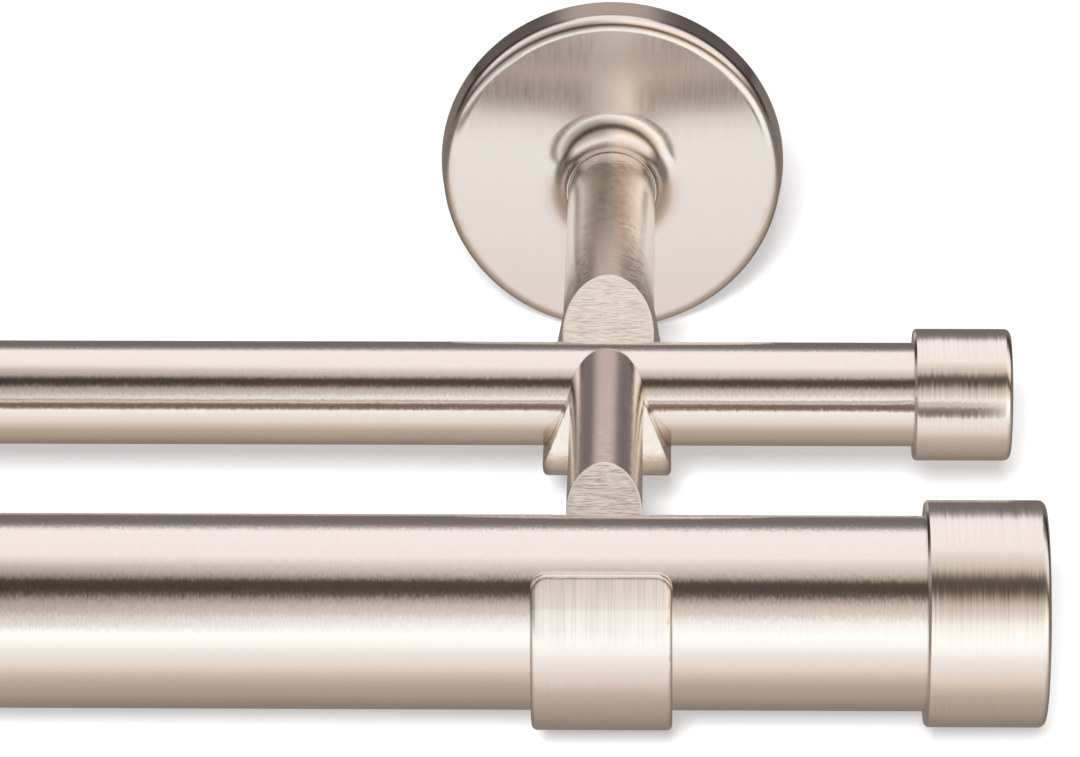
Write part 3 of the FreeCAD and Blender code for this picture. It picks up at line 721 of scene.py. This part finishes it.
greys = [(rough, rough, rough, 1) for rough in (SATIN_ROUGH, BELT_ROUGH, MILLED_ROUGH)]
rough = parts_of(tree, by_surface(*greys))["X"]
plate = place_group(tree, cloud, {"Place": place, "Roughness": 0.0, "Uneven": 0.04})
tree.links.new(calc(tree, "ADD", rough, plate["Roughness"]), shader.inputs["Roughness"])
shade = by_surface(satin["Shade"], belt["Shade"], milled["Shade"])
# painted shade on the satin, far off the arm's middle line
nickel = blend_colour(tree, painted_wing_shade, SATIN, WING_SHADE_TONE)
tinted = on_vectors(tree, "MULTIPLY", by_surface(nickel, plate["Colour"], MILLED), shade)
rubbed = calc(tree, "MULTIPLY", rim["Edge"], ARM_RUBBED_SHARE)
tree.links.new(blend_colour(tree, rubbed, tinted, RUBBED), shader.inputs["Base Color"])
shader.inputs["Metallic"].default_value = 1.0
print("arm_nickel:", len(tree.nodes), "nodes")

# %% [markdown]
# ## Zinc, and the plug's plastic
# The wall plate and the bolt are never looked at, so they are plain zinc
# plate: bluish, with flat crystals that each shine a little differently. A
# Voronoi pattern gives every crystal one random value. The plugs are moulded
# in dark plastic with a fine spark-eroded skin.

# %% Zinc and screw steel
RUBBED_ZINC = (0.80, 0.80, 0.80, 1)
RUBBED_ZINC_SHARE = 0.6
GRIT, GRIT_DEPTH = 1500.0, 4e-6  # per metre, and in metres
ZINC_EDGE = 0.2 * MM
DARKEST = 0.86  # of the colour, on the darkest crystal
DULLEST = 0.14  # added to the roughness of that crystal


def zinc_plate(name, colour, crystals, roughness):
    """Plate with crystals; crystals per metre."""
    material, tree, shader = start_material(name)
    place = place_on(tree)
    cells = add(tree, "ShaderNodeTexVoronoi", {"Vector": place, "Scale": crystals})
    grey = parts_of(tree, cells.outputs["Color"])["X"]
    grit = noise(tree, place, GRIT, 2.0)
    rim = place_group(tree, soft_edge, {"Radius": ZINC_EDGE})
    darker = (*(DARKEST * amount for amount in colour[:3]), 1)
    tone = blend_colour(tree, grey, colour, darker)
    rubbed = calc(tree, "MULTIPLY", rim["Edge"], RUBBED_ZINC_SHARE)
    tree.links.new(blend_colour(tree, rubbed, tone, RUBBED_ZINC), shader.inputs["Base Color"])
    rough = calc(tree, "MULTIPLY_ADD", grey, DULLEST, roughness)
    tree.links.new(rough, shader.inputs["Roughness"])
    inputs = {"Height": grit, "Distance": GRIT_DEPTH, "Normal": rim["Normal"]}
    bump = add(tree, "ShaderNodeBump", inputs).outputs["Normal"]
    tree.links.new(bump, shader.inputs["Normal"])
    shader.inputs["Metallic"].default_value = 1.0
    print(name, "crystals per metre", crystals)
    return material


plate_steel = zinc_plate("plate_zinc", (0.62, 0.64, 0.67, 1), crystals=420, roughness=0.30)
bolt_steel = zinc_plate("bolt_zinc", (0.55, 0.57, 0.60, 1), crystals=700, roughness=0.28)
screw_steel = zinc_plate("screw_nickel", (0.58, 0.55, 0.51, 1), crystals=1200, roughness=0.25)

# %% Plug plastic
DARK_PLASTIC, PALE_PLASTIC = (0.055, 0.055, 0.058, 1), (0.085, 0.085, 0.090, 1)
SKIN, SKIN_DEPTH = 2600.0, 8e-6  # per metre, and in metres
STREAKS = 120.0  # per metre
PLASTIC_ROUGH, STREAK_ROUGH = 0.48, 0.15

plug_plastic, tree, shader = start_material("plug_plastic")
place = place_on(tree)
streak = noise(tree, place, STREAKS, 2.0)
tone = blend_colour(tree, streak, DARK_PLASTIC, PALE_PLASTIC)
tree.links.new(tone, shader.inputs["Base Color"])
rough = calc(tree, "MULTIPLY_ADD", streak, STREAK_ROUGH, PLASTIC_ROUGH)
tree.links.new(rough, shader.inputs["Roughness"])
inputs = {"Height": noise(tree, place, SKIN, 2.0), "Distance": SKIN_DEPTH}
tree.links.new(add(tree, "ShaderNodeBump", inputs).outputs["Normal"], shader.inputs["Normal"])
print("plug_plastic: moulded skin,", SKIN, "grains per metre")

# %% [markdown]
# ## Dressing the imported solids
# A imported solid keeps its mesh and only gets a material. The record says
# which slot each solid belongs to, so the table goes from slot to material.

# %% Materials by slot
FINISH = {
    "pole_metal": pole_metal,
    "cap_metal": cap_metal,
    "rosette_metal": rosette_metal,
    "arm_metal": arm_metal,
    "plate_steel": plate_steel,
    "bolt_steel": bolt_steel,
    "screw_steel": screw_steel,
    "plug_plastic": plug_plastic,
}
SLOTS = {
    "front_pole": "pole_metal",
    "rear_pole": "pole_metal",
    "front_cap": "cap_metal",
    "rear_cap": "cap_metal",
    "rosette": "rosette_metal",
    "arm": "arm_metal",
    "wall_plate": "plate_steel",
    "arm_bolt": "bolt_steel",
    "front_pole_screw": "screw_steel",
    "rear_pole_screw": "screw_steel",
    "rosette_screw": "screw_steel",
    "front_plug": "plug_plastic",
    "rear_plug": "plug_plastic",
}
for name, node in nodes.items():
    stem = name if name in SLOTS else name.rsplit("_", 1)[0]
    node.data.materials.clear()
    node.data.materials.append(FINISH[SLOTS[stem]])
print("dressed", len(nodes), "solids")

# %% [markdown]
# ## Threads that follow a rule
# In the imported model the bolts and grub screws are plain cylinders. A real
# thread follows a rule: walk round the screw once, and the crest has moved
# along it by one pitch. Geometry Nodes can say just that. The tree takes a
# cylinder with many rings and pushes each point in or out by its height and
# its angle. A swept helix would also look like a thread, but its shell would
# run through the core, while this one stays a single closed skin. The same
# tree makes the countersunk head, the point and the key socket, so three
# sizes of screw come from one rule.

# %% Thread tree
SIZES = [
    ("Length", "Float", 10 * MM),
    ("Radius", "Float", 2 * MM),
    ("Thread Depth", "Float", 0.4 * MM),
    ("Pitch", "Float", 0.7 * MM),
    ("Head Radius", "Float", 0.0),
    ("Chamfer", "Float", 0.3 * MM),
    ("Point", "Float", 0.5 * MM),
    ("Socket Radius", "Float", 1.1 * MM),
    ("Socket Depth", "Float", 1.6 * MM),
    ("Ring Height", "Float", 0.05 * MM),
    ("Place", "Vector", (0, 0, 0)),
    ("Turn", "Vector", (0, 0, 0)),
    ("Material", "Material", None),
]
ROUND = 40  # corners round a screw

screw = bpy.data.node_groups.new("threaded_screw", "GeometryNodeTree")
for title, kind, value in SIZES:
    kind = "NodeSocket" + kind
    socket = screw.interface.new_socket(title, in_out="INPUT", socket_type=kind)
    if value is not None:
        socket.default_value = value
screw.interface.new_socket("Geometry", in_out="OUTPUT", socket_type="NodeSocketGeometry")
given = screw.nodes.new("NodeGroupInput").outputs


def cylinder(**inputs):
    """A closed cylinder round the Z axis; its inputs have _ for a blank."""
    named = {key.replace("_", " "): value for key, value in inputs.items()}
    return add(screw, "GeometryNodeMeshCylinder", named, fill_type="NGON").outputs["Mesh"]


rings = calc(screw, "ROUND", calc(screw, "DIVIDE", given["Length"], given["Ring Height"]))
rod = cylinder(Vertices=ROUND, Side_Segments=rings, Radius=given["Radius"], Depth=given["Length"])
part = parts_of(screw, add(screw, "GeometryNodeInputPosition").outputs[0])
along = calc(screw, "MULTIPLY_ADD", given["Length"], 0.5, part["Z"])  # from the socket's end
angle = calc(screw, "ARCTAN2", part["Y"], part["X"])
print("threaded_screw inputs:", len(SIZES))

# %% [markdown]
# The thread's height at a point is a triangle wave of how far along and how
# far round the point lies. The head and the point are slopes, and the larger
# or the smaller of two radii wins where they meet.

# %% Thread rule
along_turns = calc(screw, "DIVIDE", along, given["Pitch"])
round_turns = calc(screw, "DIVIDE", angle, 2 * math.pi)
phase = calc(screw, "FRACT", calc(screw, "SUBTRACT", along_turns, round_turns))
wave = calc(screw, "ABSOLUTE", calc(screw, "MULTIPLY_ADD", phase, 2.0, -1.0))
groove = calc(screw, "MULTIPLY", wave, given["Thread Depth"])
thread = calc(screw, "SUBTRACT", given["Radius"], groove)
start = calc(screw, "ADD", calc(screw, "SUBTRACT", given["Radius"], given["Chamfer"]), along)
left = calc(screw, "SUBTRACT", given["Length"], along)
tip = calc(screw, "ADD", calc(screw, "SUBTRACT", given["Radius"], given["Point"]), left)
shank = calc(screw, "MINIMUM", calc(screw, "MINIMUM", thread, start), tip)
head = calc(screw, "SUBTRACT", given["Head Radius"], along)
radius = calc(screw, "MAXIMUM", shank, head)
new_x = calc(screw, "MULTIPLY", radius, calc(screw, "COSINE", angle))
new_y = calc(screw, "MULTIPLY", radius, calc(screw, "SINE", angle))
spot = add(screw, "ShaderNodeCombineXYZ", {0: new_x, 1: new_y, 2: along}).outputs[0]
inputs = {"Geometry": rod, "Position": spot}
cut_rod = add(screw, "GeometryNodeSetPosition", inputs).outputs[0]
print("thread rule:", len(screw.nodes), "nodes")

# %% [markdown]
# A key turns the screw by a six-sided socket in its end. A Boolean cuts it
# from the rod: a prism with six sides that stands half in the metal.

# %% Key socket and end of the tree
prism = calc(screw, "MULTIPLY", given["Socket Depth"], 2.0)
key = cylinder(Vertices=6, Radius=given["Socket Radius"], Depth=prism)
hollow = add(screw, "GeometryNodeMeshBoolean", operation="DIFFERENCE", solver="EXACT")
screw.links.new(cut_rod, hollow.inputs["Mesh 1"])
screw.links.new(key, hollow.inputs["Mesh 2"])
mesh = hollow.outputs["Mesh"]
inputs = {"Geometry": mesh, "Translation": given["Place"], "Rotation": given["Turn"]}
moved = add(screw, "GeometryNodeTransform", inputs).outputs[0]
whole = add(screw, "GeometryNodeRealizeInstances", {0: moved}).outputs[0]
inputs = {"Geometry": whole, "Material": given["Material"]}
painted = add(screw, "GeometryNodeSetMaterial", inputs).outputs[0]
leave = screw.nodes.new("NodeGroupOutput")
screw.links.new(painted, leave.inputs["Geometry"])
print("tree ready:", len(screw.nodes), "nodes")

# %% [markdown]
# To run the tree, a holder object wears it as a modifier for a moment. The
# result is copied to a plain mesh, the modifier goes, and the new piece takes
# the place of the plain solid.


# %% From the tree to a piece
def make_screw(node_name, slot, values):
    """Run the tree with these sizes and put the result in place of the plain solid."""
    holder = bpy.data.objects.new(node_name + "_holder", bpy.data.meshes.new("holder"))
    bpy.context.scene.collection.objects.link(holder)
    modifier = holder.modifiers.new("threaded_screw", "NODES")
    modifier.node_group = screw
    sockets = [item for item in screw.interface.items_tree if item.in_out == "INPUT"]
    names = {item.name: item.identifier for item in sockets}
    for title, value in values.items():
        modifier[names[title]] = value
    modifier[names["Material"]] = FINISH[slot]
    bpy.context.view_layer.update()
    ready = holder.evaluated_get(bpy.context.evaluated_depsgraph_get())
    mesh = bpy.data.meshes.new_from_object(ready)
    holder.modifiers.remove(modifier)
    bpy.data.objects.remove(holder)
    piece = bpy.data.objects.new("threaded_" + node_name, mesh)
    bpy.context.scene.collection.objects.link(piece)
    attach(piece, "root")
    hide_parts(node_name)
    print(piece.name, len(mesh.polygons), "faces")


print("maker:", make_screw.__name__)

# %% [markdown]
# Every screw takes its length and place from the imported solid that it stands
# for, a grub screw its radius and a bolt its head's radius, so it fits the same
# hole. The pitches are the standard ones for 6, 4 and 2.5 millimetre threads,
# and a key fits half the thread's size.

# %% Sizes of bolts and grub screws
KEY = 1 / math.cos(math.radians(30))  # from a key's half width to its corner


def bolt_sizes(low, high):
    """A countersunk bolt that lies level, its head towards the wall."""
    return {
        "Length": high.y - low.y,
        "Radius": 2.98 * MM,
        "Thread Depth": 0.6 * MM,
        "Pitch": 1.0 * MM,
        "Head Radius": (high.z - low.z) / 2,
        "Chamfer": 0.0,
        "Point": 0.6 * MM,
        "Socket Radius": 2.0 * MM * KEY,
        "Socket Depth": 2.4 * MM,
        "Ring Height": 0.1 * MM,
        "Place": ((low.x + high.x) / 2, high.y, (low.z + high.z) / 2),
        "Turn": (math.radians(90), 0, 0),
    }


def grub_sizes(low, high, size, pitch, depth):
    """An upright grub screw, its socket down; size, pitch and depth in millimetres."""
    return {
        "Length": high.z - low.z,
        "Radius": (high.x - low.x) / 2,
        "Thread Depth": depth * MM,
        "Pitch": pitch * MM,
        "Head Radius": 0.0,
        "Chamfer": 0.3 * MM,
        "Point": 0.5 * MM,
        "Socket Radius": size / 4 * MM * KEY,
        "Socket Depth": size * 0.4 * MM,
        "Ring Height": 0.05 * MM,
        "Place": ((low.x + high.x) / 2, (low.y + high.y) / 2, low.z),
        "Turn": (0, 0, 0),
    }


print("a key's corner lies", round(KEY, 3), "times its half width from the middle")

# %% Bolts and grub screws
THREADS = {  # size, pitch and depth in millimetres
    "front_pole_screw_": (4.0, 0.7, 0.42),
    "rear_pole_screw_": (4.0, 0.7, 0.42),
    "rosette_screw_": (2.5, 0.45, 0.27),
}
for end in ENDS:
    low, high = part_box("arm_bolt_" + end)
    make_screw("arm_bolt_" + end, "bolt_steel", bolt_sizes(low, high))
    for stem, thread in THREADS.items():
        low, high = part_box(stem + end)
        make_screw(stem + end, "screw_steel", grub_sizes(low, high, *thread))
print("bolts:", len(ENDS), "grub screws:", len(ENDS) * len(THREADS))
